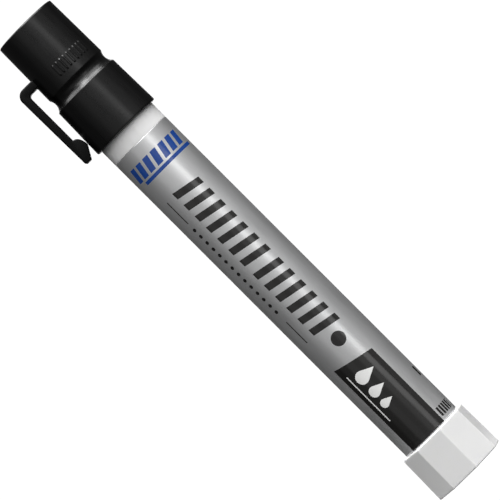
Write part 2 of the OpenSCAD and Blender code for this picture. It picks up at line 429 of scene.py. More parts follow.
class NodeDesk:
    """Places the shader nodes of one material and joins them."""

    # Places of the colours among a mix node's sockets
    MIX_LOW: ClassVar[int] = 6
    MIX_HIGH: ClassVar[int] = 7
    MIX_OUT: ClassVar[int] = 2

    def __init__(self, name: str) -> None:
        """Starts a material with nothing but its output.

        Args:
            name: Name of the material.
        """
        self.material = bpy.data.materials.new(name)
        self.material.use_nodes = True
        self.tree = self.material.node_tree
        self.tree.nodes.clear()
        self.out = self.add("ShaderNodeOutputMaterial")

    def add(self, kind: str, **settings: str) -> bpy.types.Node:
        """Adds a node.

        Args:
            kind: Type of the node.
            **settings: Its options.

        Returns:
            The node.
        """
        node = self.tree.nodes.new(kind)
        for key, value in settings.items():
            setattr(node, key, value)
        return node

    def put(self, socket: Socket, value: Tint) -> None:
        """Gives an input what it takes.

        Args:
            socket: The input.
            value: A socket to link it to, or its own value.
        """
        if isinstance(value, Socket):
            self.tree.links.new(value, socket)
        else:
            socket.default_value = value

    def math(self, op: Op, *values: Value) -> Socket:
        """Adds a maths node.

        Args:
            op: What it works out.
            *values: What it works with.

        Returns:
            The result.
        """
        node = self.add("ShaderNodeMath", operation=op.value)
        for socket, value in zip(node.inputs, values):
            self.put(socket, value)
        return node.outputs[0]

    def mix(self, share: Value, low: Tint, high: Tint) -> Socket:
        """Mixes two colours.

        Args:
            share: How much of the second there is.
            low: First colour.
            high: Second colour.

        Returns:
            The mixed colour.
        """
        node = self.add("ShaderNodeMix", data_type="RGBA")
        self.put(node.inputs[0], share)
        self.put(node.inputs[self.MIX_LOW], low)
        self.put(node.inputs[self.MIX_HIGH], high)
        return node.outputs[self.MIX_OUT]

    def vary(self, share: Value, ink: Ink) -> Socket:
        """A colour between its two gains."""
        return self.mix(share, rgba(ink.colour, ink.gains[0]), rgba(ink.colour, ink.gains[1]))

    def span(self, value: Value, result: Pair, given: Pair = NOISE_SPAN) -> Socket:
        """Spreads a value between two limits.

        Args:
            value: What is spread.
            result: Least and greatest result.
            given: Values that give these.

        Returns:
            The result.
        """
        node = self.add("ShaderNodeMapRange")
        for socket, number in zip(node.inputs, (value, *given, *result)):
            self.put(socket, number)
        return node.outputs[0]

    def place(self) -> Socket:
        """Position in the object's own frame, in metres."""
        return self.add("ShaderNodeTexCoord").outputs["Object"]

    def cloud(self, place: Socket, cloud: Cloud) -> Socket:
        """Adds a noise.

        Args:
            place: Position that it is read at.
            cloud: Its sizes.

        Returns:
            The noise, mostly between the limits of NOISE_SPAN.
        """
        if cloud.along != 1.0:
            drawn = self.add("ShaderNodeMapping")
            self.put(drawn.inputs["Vector"], place)
            self.put(drawn.inputs["Scale"], (1.0, 1.0, cloud.along))
            place = drawn.outputs[0]
        node = self.add("ShaderNodeTexNoise")
        self.put(node.inputs["Vector"], place)
        self.put(node.inputs["Scale"], 1 / (cloud.size * MM))
        self.put(node.inputs["Detail"], cloud.detail)
        return node.outputs["Fac"]

    def bump(self, height: Socket, relief: Relief, under: Socket | None = None) -> Socket:
        """Normal of a fine relief.

        Args:
            height: Height of the relief, 0 to 1.
            relief: Its depth and strength.
            under: Normal of a relief below this one.

        Returns:
            The normal.
        """
        node = self.add("ShaderNodeBump")
        self.put(node.inputs["Strength"], relief.strength)
        self.put(node.inputs["Distance"], relief.depth * MM)
        self.put(node.inputs["Height"], height)
        if under is not None:
            self.put(node.inputs["Normal"], under)
        return node.outputs[0]

    def surface(self, **sockets: Tint) -> bpy.types.Material:
        """Finishes the material with a principled surface.

        Args:
            **sockets: Values by socket name, with underscores for spaces.

        Returns:
            The material.
        """
        node = self.add("ShaderNodeBsdfPrincipled")
        for key, value in sockets.items():
            self.put(node.inputs[key.replace("_", " ")], value)
        self.tree.links.new(node.outputs[0], self.out.inputs["Surface"])
        return self.material


class Finish(ABC):
    """What every finish does: its material is made once and then shared."""

    name: str

    def material(self) -> bpy.types.Material:
        """The finish as a material."""
        return bpy.data.materials.get(self.name) or self.dress(NodeDesk(self.name))

    @abstractmethod
    def dress(self, desk: NodeDesk) -> bpy.types.Material:
        """Places the nodes of the finish on a desk and gives back its material."""


@dataclass(frozen=True)
class MouldedPlastic(Finish):
    """Moulded plastic with flow mottle, fine mould grain and faint rub marks.

    rub is the spread of its roughness, grain the share of its relief that
    shows, and soak the depth that light goes into it.
    """

    name: str
    colour: Triple
    roughness: float
    mottle: float = 0.03
    rub: float = 0.05
    grain: float = 0.2
    specular: float = 0.5
    soak: float = 0.0
    soak_reach: Triple = (1.0, 1.0, 0.95)
    flow: Cloud = Cloud(5.0, along=0.35)
    wear: Cloud = Cloud(0.9, 5.0, 0.2)
    fine: Cloud = Cloud(0.22, 2.0)
    fine_depth: float = 0.012
    wave: Cloud = Cloud(3.5, 1.0)
    wave_depth: float = 0.02

    def dress(self, desk: NodeDesk) -> bpy.types.Material:
        """Places the nodes of the plastic.

        Args:
            desk: Where the nodes go.

        Returns:
            The material.
        """
        place = desk.place()
        base = desk.vary(desk.cloud(place, self.flow), Ink(self.colour, (1 - self.mottle, 1 + self.mottle)))
        wear = desk.cloud(place, self.wear)
        wave = desk.bump(desk.cloud(place, self.wave), Relief(self.wave_depth, self.grain))
        return desk.surface(
            Base_Color=base,
            Roughness=desk.span(wear, (self.roughness - self.rub, self.roughness + self.rub)),
            Normal=desk.bump(desk.cloud(place, self.fine), Relief(self.fine_depth, self.grain), wave),
            Specular_IOR_Level=self.specular,
            Subsurface_Weight=1.0 if self.soak else 0.0,
            Subsurface_Radius=self.soak_reach,
            Subsurface_Scale=self.soak * MM,
        )


@dataclass(frozen=True)
class SoftRubber(Finish):
    """Matte seal rubber with a dusty bloom."""

    name: str = "soft_rubber"
    colour: Triple = (0.028, 0.028, 0.03)
    bloom: Triple = (0.07, 0.07, 0.072)
    dust: Cloud = Cloud(1.4, 6.0)
    dust_span: Pair = (0.4, 0.8)
    roughness: Pair = (0.6, 0.8)
    grain: Cloud = Cloud(0.12)
    relief: Relief = Relief(0.02, 0.4)

    def dress(self, desk: NodeDesk) -> bpy.types.Material:
        """Places the nodes of the rubber.

        Args:
            desk: Where the nodes go.

        Returns:
            The material.
        """
        place = desk.place()
        dust = desk.cloud(place, self.dust)
        share = desk.span(dust, (0.0, 1.0), self.dust_span)
        return desk.surface(
            Base_Color=desk.mix(share, rgba(self.colour), rgba(self.bloom)),
            Roughness=desk.span(dust, self.roughness),
            Normal=desk.bump(desk.cloud(place, self.grain), self.relief),
        )


@dataclass(frozen=True)
class SolidPaint(Finish):
    """Waxy solid paint with cast marks and a faint crumb."""

    name: str = "solid_paint"
    colour: Triple = (0.86, 0.855, 0.82)
    shade: Triple = (0.78, 0.77, 0.72)
    roughness: Pair = (0.42, 0.6)
    cast: Cloud = Cloud(2.4, 5.0)
    cast_relief: Relief = Relief(0.12, 0.4)
    crumb: Cloud = Cloud(0.35, 4.0)
    crumb_relief: Relief = Relief(0.05, 0.5)
    soak: float = 0.8
    soak_share: float = 0.08
    soak_reach: Triple = (1.0, 0.9, 0.7)

    def dress(self, desk: NodeDesk) -> bpy.types.Material:
        """Places the nodes of the paint.

        Args:
            desk: Where the nodes go.

        Returns:
            The material.
        """
        place = desk.place()
        cast = desk.cloud(place, self.cast)
        crumb = desk.bump(desk.cloud(place, self.crumb), self.crumb_relief)
        return desk.surface(
            Base_Color=desk.mix(desk.span(cast, (0.0, 1.0)), rgba(self.shade), rgba(self.colour)),
            Roughness=desk.span(cast, self.roughness),
            Normal=desk.bump(cast, self.cast_relief, crumb),
            Subsurface_Weight=self.soak_share,
            Subsurface_Radius=self.soak_reach,
            Subsurface_Scale=self.soak * MM,
        )


@dataclass(frozen=True)
class Block:
    """Upright rectangle on the label: its spans round it (u) and up it (v)."""

    u: Pair
    v: Pair

    def drawn_in(self, line: float) -> "Block":
        """The rectangle inside an edge of some width."""
        return Block((self.u[0] + line, self.u[1] - line), (self.v[0] + line, self.v[1] - line))


@dataclass(frozen=True)
class Ruled:
    """Block filled with even upright lines, the first at its edge."""

    block: Block
    pitch: float
    width: float


@dataclass(frozen=True)
class Bars:
    """Leaning bars one above another: their span round, the first one's low edge, and the lean's rise."""

    u: Pair
    start: float
    count: int
    pitch: float = 3.8
    width: float = 1.9
    lean: float = 0.19


@dataclass(frozen=True)
class Slats:
    """Leaning blocks side by side: their span up the label, the first one's edge, and their run round it."""

    v: Pair
    start: float
    run: float
    pitch: float
    width: float
    lean: float


@dataclass(frozen=True)
class Spot:
    """Round place on the label."""

    u: float
    v: float
    r: float


@dataclass(frozen=True)
class Dots:
    """Row of round spots up the label, the first at a height."""

    u: float
    start: float
    count: int
    pitch: float
    r: float


class PrintTool:
    """Draws plain shapes on the label as masks, which are 1 inside and 0 outside."""

    # Where a drop's cone starts, how fast it narrows and how wide it starts, in radii of the drop
    CONE_START: ClassVar[float] = 0.5
    CONE_TAPER: ClassVar[float] = 0.5
    CONE_WIDE: ClassVar[float] = 0.87

    def __init__(self, desk: NodeDesk, radius: float) -> None:
        """Finds the way round (u) and the way up (v).

        Args:
            desk: Where the nodes go.
            radius: Radius of the label.
        """
        self.desk = desk
        axes = desk.add("ShaderNodeSeparateXYZ")
        desk.put(axes.inputs[0], desk.place())
        back = desk.math(Op.TIMES, axes.outputs["Y"], -1.0)
        turn = desk.math(Op.ANGLE, axes.outputs["X"], back)
        self.u = desk.math(Op.TIMES, turn, radius)
        self.v = desk.math(Op.OVER, axes.outputs["Z"], MM)

    def slanted(self, along: Value, across: Value, lean: float) -> Socket:
        """One direction leaning by the other."""
        return self.desk.math(Op.ADD, along, self.desk.math(Op.TIMES, across, lean))

    def within(self, value: Value, span: Pair) -> Socket:
        """Where a value is in a span."""
        return self.desk.math(Op.NEAR, value, (span[0] + span[1]) / 2, (span[1] - span[0]) / 2)

    def joined(self, op: Op, masks: Sequence[Socket]) -> Socket:
        """Masks joined by one operation.

        Args:
            op: What joins each mask to those before it.
            masks: One mask or more.

        Returns:
            The mask of all together.
        """
        made = masks[0]
        for mask in masks[1:]:
            made = self.desk.math(op, made, mask)
        return made

    def all_of(self, *masks: Socket) -> Socket:
        """Where every mask is 1."""
        return self.joined(Op.TIMES, masks)

    def any_of(self, *masks: Socket) -> Socket:
        """Where one of the masks is 1."""
        return self.joined(Op.HIGH, masks)

    def block(self, block: Block) -> Socket:
        """Upright rectangle."""
        return self.all_of(self.within(self.u, block.u), self.within(self.v, block.v))

    def outline(self, block: Block, line: float) -> Socket:
        """Edge of an upright rectangle."""
        hole = self.block(block.drawn_in(line))
        return self.all_of(self.block(block), self.desk.math(Op.TAKE, 1.0, hole))

    def rows(self, value: Value, start: float, pitch: float, width: float) -> Socket:
        """Even stripes across a value."""
        step = self.desk.math(Op.OVER, self.desk.math(Op.TAKE, value, start), pitch)
        return self.desk.math(Op.LESS, self.desk.math(Op.FRACT, step), width / pitch)

    def ruled(self, ruled: Ruled) -> Socket:
        """Block filled with upright lines."""
        lines = self.rows(self.u, ruled.block.u[0], ruled.pitch, ruled.width)
        return self.all_of(self.block(ruled.block), lines)

    def bars(self, bars: Bars) -> Socket:
        """Leaning bars one above another.

        Args:
            bars: Their sizes.

        Returns:
            The mask.
        """
        way = self.slanted(self.v, self.u, bars.lean)
        run = self.within(way, (bars.start, bars.start + bars.pitch * (bars.count - 1) + bars.width))
        rows = self.rows(way, bars.start, bars.pitch, bars.width)
        return self.all_of(self.within(self.u, bars.u), run, rows)

    def slats(self, slats: Slats) -> Socket:
        """Leaning blocks side by side, placed by the middle of their height.

        Args:
            slats: Their sizes.

        Returns:
            The mask.
        """
        way = self.slanted(self.u, self.v, slats.lean)
        start = slats.start + slats.lean * sum(slats.v) / 2
        run = self.within(way, (start, start + slats.run))
        return self.all_of(self.within(self.v, slats.v), run, self.rows(way, start, slats.pitch, slats.width))

    def disc(self, u: float, off: Socket, r: float) -> Socket:
        """Where the distance from a spot is less than its radius.

        Args:
            u: Place of the spot round the label.
            off: Distance from its middle up the label.
            r: Its radius.

        Returns:
            The mask.
        """
        across = self.desk.math(Op.TAKE, self.u, u)
        squares = [self.desk.math(Op.TIMES, way, way) for way in (across, off)]
        return self.desk.math(Op.LESS, self.desk.math(Op.ADD, *squares), r * r)

    def spot(self, spot: Spot) -> Socket:
        """Round spot."""
        return self.disc(spot.u, self.desk.math(Op.TAKE, self.v, spot.v), spot.r)

    def dots(self, dots: Dots) -> Socket:
        """A row of round spots.

        Args:
            dots: Their sizes.

        Returns:
            The mask.
        """
        low = dots.start - dots.pitch / 2
        step = self.desk.math(Op.OVER, self.desk.math(Op.TAKE, self.v, low), dots.pitch)
        near = self.desk.math(Op.TAKE, self.desk.math(Op.FRACT, step), 0.5)
        run = self.within(self.v, (low, low + dots.pitch * dots.count))
        return self.all_of(run, self.disc(dots.u, self.desk.math(Op.TIMES, near, dots.pitch), dots.r))

    def drop(self, spot: Spot) -> Socket:
        """A drop with its point towards growing u.

        Args:
            spot: Its round end.

        Returns:
            The mask.
        """
        side = self.desk.math(Op.ABS, self.desk.math(Op.TAKE, self.v, spot.v))
        rise = self.desk.math(Op.TAKE, self.u, spot.u + self.CONE_START * spot.r)
        slope = self.slanted(side, rise, self.CONE_TAPER)
        narrow = self.desk.math(Op.LESS, slope, self.CONE_WIDE * spot.r)
        cone = self.all_of(narrow, self.desk.math(Op.MORE, rise, 0.0))
        return self.any_of(self.spot(spot), cone)


@dataclass(frozen=True)
class PrintedFilm(Finish):
    """Metallised label film with plain shapes printed in charcoal, blue and white."""

    radius: float
    name: str = "printed_film"
    silver: Ink = Ink((0.86, 0.865, 0.87), (0.97, 1.03))
    charcoal: Ink = Ink((0.007, 0.0065, 0.006), (0.8, 1.25))
    blue: Ink = Ink((0.006, 0.045, 0.23), (0.9, 1.1))
    white: Ink = Ink((0.8, 0.8, 0.79), (0.96, 1.04))
    metal: float = 0.84
    roughness: float = 0.33
    rub: float = 0.03
    ink_roughness: float = 0.17
    specular: float = 0.95
    cloud: Cloud = Cloud(4.0, along=0.3)
    cloud_relief: Relief = Relief(0.03, 0.12)
    speck: Cloud = Cloud(0.15, 2.0)
    speck_rise: float = 0.12
    ink_rise: float = 0.5
    ink_relief: Relief = Relief(0.006, 0.25)
    bars: tuple[Bars, ...] = (Bars((-3.75, 3.95), 72.7, 7), Bars((-3.75, 3.95), 49.2, 6))
    spot: Spot = Spot(0.1, 45.3, 1.9)
    side_lines: tuple[Block, ...] = (
        Block((-6.85, -6.53), (90.3, 97.5)),
        Block((-6.85, -6.53), (49.8, 56.9)),
    )
    dots: Dots = Dots(-6.7, 60.3, 14, 2.14, 0.52)
    panel: Block = Block((-7.15, 4.3), (0.0, 38.9))
    panel_lean: float = 0.21
    ticks: Ruled = Ruled(Block((4.9, 10.4), (14.3, 16.9)), 1.05, 0.68)
    dash: Block = Block((9.8, 10.9), (24.9, 27.8))
    back_lines: tuple[Ruled, ...] = (
        Ruled(Block((-24.0, -13.2), (34.0, 96.0)), 1.8, 0.3),
        Ruled(Block((14.2, 23.0), (34.0, 74.0)), 1.8, 0.3),
    )
    back_box: Block = Block((14.2, 23.0), (80.0, 96.0))
    back_box_line: float = 0.4
    slats: Slats = Slats((105.2, 109.1), -8.59, 17.35, 2.6, 1.75, -0.2)
    slats_line: Block = Block((-7.1, 10.4), (103.75, 104.65))
    drops: tuple[Spot, ...] = (Spot(-2.6, 34.6, 1.75), Spot(-2.9, 30.1, 1.45), Spot(-3.15, 26.4, 1.15))
    drops_line: Block = Block((-5.75, -5.4), (22.4, 37.2))

    def charcoal_mask(self, tool: PrintTool) -> Socket:
        """Charcoal bars, spots, lines and panel.

        Args:
            tool: What draws them.

        Returns:
            The mask.
        """
        slope = tool.slanted(tool.v, tool.u, self.panel_lean)
        return tool.any_of(
            *(tool.bars(bars) for bars in self.bars),
            tool.spot(self.spot),
            *(tool.block(line) for line in self.side_lines),
            tool.dots(self.dots),
            tool.all_of(tool.within(tool.u, self.panel.u), tool.within(slope, self.panel.v)),
            tool.ruled(self.ticks),
            tool.block(self.dash),
            *(tool.ruled(lines) for lines in self.back_lines),
            tool.outline(self.back_box, self.back_box_line),
        )

    def blue_mask(self, tool: PrintTool) -> Socket:
        """Blue blocks with a line below them."""
        return tool.any_of(tool.slats(self.slats), tool.block(self.slats_line))

    def white_mask(self, tool: PrintTool) -> Socket:
        """White drops on the panel with a line beside them."""
        return tool.any_of(*(tool.drop(spot) for spot in self.drops), tool.block(self.drops_line))

    def dress(self, desk: NodeDesk) -> bpy.types.Material:
        """Places the nodes of the film and its print.

        Args:
            desk: Where the nodes go.

        Returns:
            The material.
        """
        tool = PrintTool(desk, self.radius)
        place = desk.place()
        cloud = desk.cloud(place, self.cloud)
        speck = desk.cloud(place, self.speck)
        masks = (self.blue_mask(tool), self.charcoal_mask(tool), self.white_mask(tool))
        base = desk.vary(cloud, self.silver)
        for mask, ink in zip(masks, (self.blue, self.charcoal, self.white)):
            base = desk.mix(mask, base, desk.vary(speck, ink))
        printed = tool.any_of(*masks)
        bare = desk.math(Op.TAKE, 1.0, printed)
        film = desk.span(cloud, (self.roughness - self.rub, self.roughness + self.rub))
        gloss = desk.math(Op.TIMES, printed, self.roughness - self.ink_roughness)
        grit = desk.math(Op.TIMES, speck, self.speck_rise)
        relief = desk.math(Op.ADD, desk.math(Op.TIMES, printed, self.ink_rise), grit)
        return desk.surface(
            Base_Color=base,
            Metallic=desk.math(Op.TIMES, bare, self.metal),
            Roughness=desk.math(Op.TAKE, film, gloss),
            Normal=desk.bump(relief, self.ink_relief, desk.bump(cloud, self.cloud_relief)),
            Specular_IOR_Level=self.specular,
        )


@dataclass(frozen=True)
class StageWhite(Finish):
    """Floor and backdrop: pale to scattered light, white to the eye and in reflections."""

    name: str
    glow: float
    pale: float = 0.1

    def dress(self, desk: NodeDesk) -> bpy.types.Material:
        """Places the nodes of the stage.

        Args:
            desk: Where the nodes go.

        Returns:
            The material.
        """
        path = desk.add("ShaderNodeLightPath")
        seen = desk.math(Op.HIGH, path.outputs["Is Camera Ray"], path.outputs["Is Glossy Ray"])
        seen = desk.math(Op.HIGH, seen, path.outputs["Is Transmission Ray"])
        plain = desk.add("ShaderNodeBsdfDiffuse")
        desk.put(plain.inputs["Color"], rgba((self.pale,) * 3))
        light = desk.add("ShaderNodeEmission")
        desk.put(light.inputs["Strength"], desk.math(Op.TIMES, seen, self.glow))
        both = desk.add("ShaderNodeAddShader")
        desk.put(both.inputs[0], plain.outputs[0])
        desk.put(both.inputs[1], light.outputs[0])
        desk.put(desk.out.inputs["Surface"], both.outputs[0])
        return desk.material


WHITE_PLASTIC = MouldedPlastic("moulded_white", (0.72, 0.72, 0.718), 0.34, mottle=0.012, soak=0.7)
NATURAL_PLASTIC = MouldedPlastic("moulded_natural", (0.72, 0.71, 0.67), 0.4, mottle=0.05)
BLACK_PLASTIC = MouldedPlastic(
    "moulded_black", (0.0012, 0.0012, 0.0013), 0.29, mottle=0.15, rub=0.03, grain=0.1, specular=0.53
)
CLIP_PLASTIC = MouldedPlastic(
    "matt_black", (0.0014, 0.0014, 0.0015), 0.4, mottle=0.15, rub=0.04, specular=0.14
)


# Sub-assemblies


class SubAssembly(ABC):
    """What every sub-assembly does with its pieces."""

    body: ClassVar[Body]

    @abstractmethod
    def build(self) -> None:
        """Builds and dresses the pieces."""

    def settle(self, obj: bpy.types.Object, slot: Slot, finish: Finish, *nodes: str) -> None:
        """Dresses a mesh and sets it on its body.

        Args:
            obj: The mesh object.
            slot: Material slot of the record; not used.
            finish: What it is dressed with.
            *nodes: CAD nodes that it stands for.
        """
        obj.data.materials.clear()
        obj.data.materials.append(finish.material())
        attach(obj, self.body.value)
        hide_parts(*nodes)
        LOG.info("%s rides on %s", obj.name, self.body.value)

    def keep(self, node: str, finish: Finish) -> None:
        """Dresses a CAD node that stays.

        Args:
            node: Name of the node.
            finish: What it is dressed with.
        """
        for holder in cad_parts[node].material_slots:
            holder.material = finish.material()
        LOG.info("%s stays, dressed as %s", node, finish.name)


@dataclass
class KnobAssembly(SubAssembly):
    """Octagonal twist knob with its spigot, seal ring and feed screw.

    half is the distance from its middle to a flat, first the way of a corner
    from +X, and gate the mark that the mould leaves in its foot.
    """

    body: ClassVar[Body] = Body.KNOB
    height: float = 13.1
    half: float = 9.475
    half_top: float = 9.25
    foot: float = 0.18
    bevel: float = 0.28
    rim_flat: float = 1.0
    rim_round: float = 0.12
    side_round: float = 0.2
    sides: int = 8
    first: float = 10.3
    edge: float = 0.4
    edge_steps: int = 6
    gate_r: float = 1.2
    gate_depth: float = 0.15
    gate_slope: float = 0.15
    spigot_r: float = 6.4
    spigot_top: float = 17.0
    spigot_round: float = 0.3
    groove_r: float = 5.25
    groove_low: float = 14.4
    groove_high: float = 15.8
    groove_round: float = 0.2
    groove_lip: float = 0.1
    stem_steps: int = 3
    drive_r: float = 2.7
    drive_low: float = 8.0
    drive_gap: float = 0.05
    drive_land: float = 0.6
    drive_chamfer: float = 0.3
    journal_r: float = 2.9
    collar_r: float = 4.5
    collar_low: float = 19.4
    collar_high: float = 21.0
    collar_chamfer: float = 0.15
    thread_r: float = 2.15
    thread_rise: float = 0.45
    thread_pitch: float = 4.0
    thread_round: int = 28
    thread_steps: int = 20
    thread_crisp: float = 50.0
    screw_top: float = 121.45
    tip_run: float = 0.6
    tip_depth: float = 0.35

    def flats(self, half: float) -> list[Pair]:
        """Octagon with rounded edges.

        Args:
            half: Distance from its middle to a flat.

        Returns:
            The points of its outline.
        """
        turn = math.pi / self.sides
        reach = (half - self.edge) / math.cos(turn)
        points: list[Pair] = []
        for k in range(self.sides):
            way = math.radians(self.first) + 2 * turn * k
            mid = (reach * math.cos(way), reach * math.sin(way))
            span = (math.degrees(way - turn), math.degrees(way + turn))
            points += bow(mid, self.edge, span, self.edge_steps)
        return held(points, True)

    def side(self) -> list[Pair]:
        """Half width and height of the knob from its foot, up its side and over its rim.

        Returns:
            The points of the profile.
        """
        draft = (self.half - self.half_top) / self.height
        low, high = self.foot, self.height - self.bevel
        foot, top = self.half - self.foot, self.half_top - self.bevel
        return rounded(
            [
                Corner(foot - self.rim_flat, 0.0),
                Corner(foot, 0.0, self.rim_round),
                Corner(self.half - draft * low, low, self.side_round),
                Corner(self.half - draft * high, high, self.side_round),
                Corner(top, self.height, self.rim_round),
                Corner(top - self.rim_flat, self.height),
            ],
            closed=False,
        )

    def stem(self) -> list[Pair]:
        """Radius and height of the spigot, with the groove that holds the seal.

        Returns:
            The points of the profile.
        """
        return rounded(
            [
                Corner(self.spigot_r, self.height),
                Corner(self.spigot_r, self.groove_low, self.groove_lip),
                Corner(self.groove_r, self.groove_low, self.groove_round),
                Corner(self.groove_r, self.groove_high, self.groove_round),
                Corner(self.spigot_r, self.groove_high, self.groove_lip),
                Corner(self.spigot_r, self.spigot_top, self.spigot_round),
                Corner(self.drive_r + self.drive_land, self.spigot_top),
            ],
            steps=self.stem_steps,
            closed=False,
        )

    def build_knob(self) -> None:
        """Knob with bevelled rims, grooved spigot and the drive hole."""
        ways = bearings(self.flats(self.half))
        hole = six(self.drive_r + self.drive_gap)
        loops = [
            hoop(self.gate_r - self.gate_slope, self.gate_depth, ways),
            hoop(self.gate_r, 0.0, ways),
            *(level(self.flats(half), z) for half, z in self.side()),
            *(hoop(r, z, ways) for r, z in self.stem()),
            around(hole, self.spigot_top, ways),
            around(hole, self.drive_low, ways),
        ]
        maker = MeshMaker("twist_knob_shell")
        made = maker.tube(loops)
        maker.fan(made[0], self.gate_depth)
        maker.fan(made[-1], self.drive_low)
        self.settle(maker.make(), Slot.WHITE, WHITE_PLASTIC, "twist_knob")

    def thread(self, z: float) -> Reach:
        """Reach of the smooth thread in each way.

        Args:
            z: Height on the screw.

        Returns:
            The reach, less towards the chamfered tip.
        """
        chamfer = self.tip_depth * smooth((z - self.screw_top + self.tip_run) / self.tip_run)
        middle = self.thread_r - chamfer
        turn = math.tau * z / self.thread_pitch
        return lambda w: middle + self.thread_rise * math.cos(w + turn)

    def build_screw(self) -> None:
        """Feed screw with its drive end, journal, collar and smooth thread."""
        ways = [math.tau * k / self.thread_round for k in range(self.thread_round)]
        low = self.drive_low + self.drive_gap
        chamfer = self.collar_chamfer
        run = self.screw_top - self.collar_high
        count = int(run / self.thread_pitch * self.thread_steps)
        heights = [self.collar_high + run * k / count for k in range(count + 1)]
        loops = [
            around(six(self.drive_r - self.drive_chamfer), low, ways),
            around(six(self.drive_r), low + self.drive_chamfer, ways),
            around(six(self.drive_r), self.spigot_top, ways),
            hoop(self.journal_r, self.spigot_top, ways),
            hoop(self.journal_r, self.collar_low, ways),
            hoop(self.collar_r - chamfer, self.collar_low, ways),
            hoop(self.collar_r, self.collar_low + chamfer, ways),
            hoop(self.collar_r, self.collar_high - chamfer, ways),
            hoop(self.collar_r - chamfer, self.collar_high, ways),
            *(around(self.thread(z), z, ways) for z in heights),
        ]
        maker = MeshMaker("feed_screw")
        made = maker.tube(loops)
        maker.fan(made[0], low)
        maker.fan(made[-1], self.screw_top)
        self.settle(maker.make(self.thread_crisp), Slot.NATURAL, NATURAL_PLASTIC, "lead_screw")

    def build(self) -> None:
        """Builds the knob's pieces and dresses its seal."""
        self.build_knob()
        self.build_screw()
        self.keep("knob_seal", SoftRubber())


@dataclass
class HolderAssembly(SubAssembly):
    """White barrel with keyways, and the label round it.

    lap is the angle by which the label covers its own start; it climbs over
    that from lap_start on.
    """

    body: ClassVar[Body] = Body.HOLDER
    low: float = 13.2
    r: float = 8.475
    end_round: float = 0.05
    socket_round: float = 0.15
    neck: float = 117.45
    neck_r: float = 7.875
    neck_round: float = 0.1
    shoulder_round: float = 0.15
    bead: float = 0.22
    bead_half: float = 0.7
    bead_steps: int = 10
    mouth: float = 129.45
    mouth_edge: float = 0.4
    mouth_land: float = 0.75
    mouth_lead: float = 0.12
    mouth_lead_run: float = 0.15
    bore: float = 6.7
    bore_steps: int = 60
    key_half: float = 1.1
    key_r: float = 7.3
    floor_low: float = 17.2
    floor_high: float = 19.2
    journal_r: float = 3.0
    recess: float = 0.08
    recess_round: float = 0.03
    label_low: float = 13.28
    label_high: float = 112.7
    label_steps: int = 240
    label_gap: float = 0.02
    label_edge: float = 0.05
    label_edge_dip: float = 0.012
    lap: float = 26.0
    lap_t: float = 0.06
    lap_slack: float = 0.04
    lap_start: float = 176.0
    lap_climb: float = 4.0

    def keyed(self) -> list[Pair]:
        """Bore with its two keyways, seen from above.

        Returns:
            The points of its outline.
        """
        turn = math.degrees(math.asin(self.key_half / self.bore))
        points: list[Pair] = []
        for way, side in ((90.0, -1), (270.0, 1)):
            points += bow((0.0, 0.0), self.bore, (way + turn, way + 180 - turn), self.bore_steps)
            points += [(side * self.key_half * s, side * self.key_r) for s in (1, 0, -1)]
        return points

    def outside(self) -> list[Pair]:
        """Radius and height of the barrel from its socket, round its foot and up to its mouth.

        Returns:
            The points of the profile.
        """
        deep = self.r - self.recess
        bead_mid = (self.neck_r, (self.neck + self.mouth) / 2)
        return rounded(
            [
                Corner(self.bore, self.floor_low),
                Corner(self.bore, self.low, self.socket_round),
                Corner(self.r, self.low, self.end_round),
                Corner(self.r, self.label_low),
                Corner(deep, self.label_low),
                Corner(deep, self.label_high),
                Corner(self.r, self.label_high, self.recess_round),
                Corner(self.r, self.neck, self.shoulder_round),
                Corner(self.neck_r, self.neck, self.neck_round),
                *corners(arc(bead_mid, (self.bead, self.bead_half), (-90, 90), self.bead_steps)),
                Corner(self.neck_r, self.mouth, self.mouth_edge),
                Corner(self.bore + self.mouth_land, self.mouth),
            ],
            closed=False,
        )

    def build_barrel(self) -> None:
        """Barrel from its socket, round the outside and down the bore."""
        keyed = self.keyed()
        ways = bearings(keyed)
        wide = 1 + self.mouth_lead / self.bore
        loops = [
            hoop(self.journal_r, self.floor_high, ways),
            hoop(self.journal_r, self.floor_low, ways),
            *(hoop(r, z, ways) for r, z in self.outside()),
            level([(x * wide, y * wide) for x, y in keyed], self.mouth),
            level(keyed, self.mouth - self.mouth_lead_run),
            level(keyed, self.floor_high),
        ]
        maker = MeshMaker("barrel_tube")
        made = maker.tube(loops)
        maker.bridge(made[-1], made[0])
        self.settle(maker.make(), Slot.WHITE, WHITE_PLASTIC, "barrel")

    def film(self, a: float) -> Pair:
        """Inner and outer radius of the label at an angle, with the climb of its lap.

        Args:
            a: Angle round the axis, past 180 where the label laps.

        Returns:
            The two radii.
        """
        floor = self.r - self.recess
        if a <= self.lap_start:
            return floor, self.r
        climb = (self.lap_slack + self.lap_t) * smooth((a - self.lap_start) / self.lap_climb)
        return max(self.r + climb - self.lap_t, floor), self.r + climb

    def build_label(self) -> None:
        """Label sleeve, one strip of film that laps over itself at the back."""
        low, high = self.label_low, self.label_high
        gap, edge, dip = self.label_gap, self.label_edge, self.label_edge_dip
        strip = []
        for k in range(self.label_steps + 1):
            a = -180 + (360 + self.lap) * k / self.label_steps
            inner, out = self.film(a)
            spots = [
                (inner, low + gap),
                (out - dip, low + gap),
                (out, low + edge),
                (out, low + edge + HOLD),
                (out, high - edge - HOLD),
                (out, high - edge),
                (out - dip, high - gap),
                (inner, high - gap),
            ]
            turn = math.radians(a)
            strip.append([(r * math.sin(turn), -r * math.cos(turn), z) for r, z in spots])
        maker = MeshMaker("label_sleeve")
        made = maker.tube(strip)
        maker.lid(made[0])
        maker.lid(made[-1])
        self.settle(maker.make(), Slot.LABEL, PrintedFilm(self.r), "label_wrap")

    def build(self) -> None:
        """Builds the barrel and its label."""
        self.build_barrel()
        self.build_label()


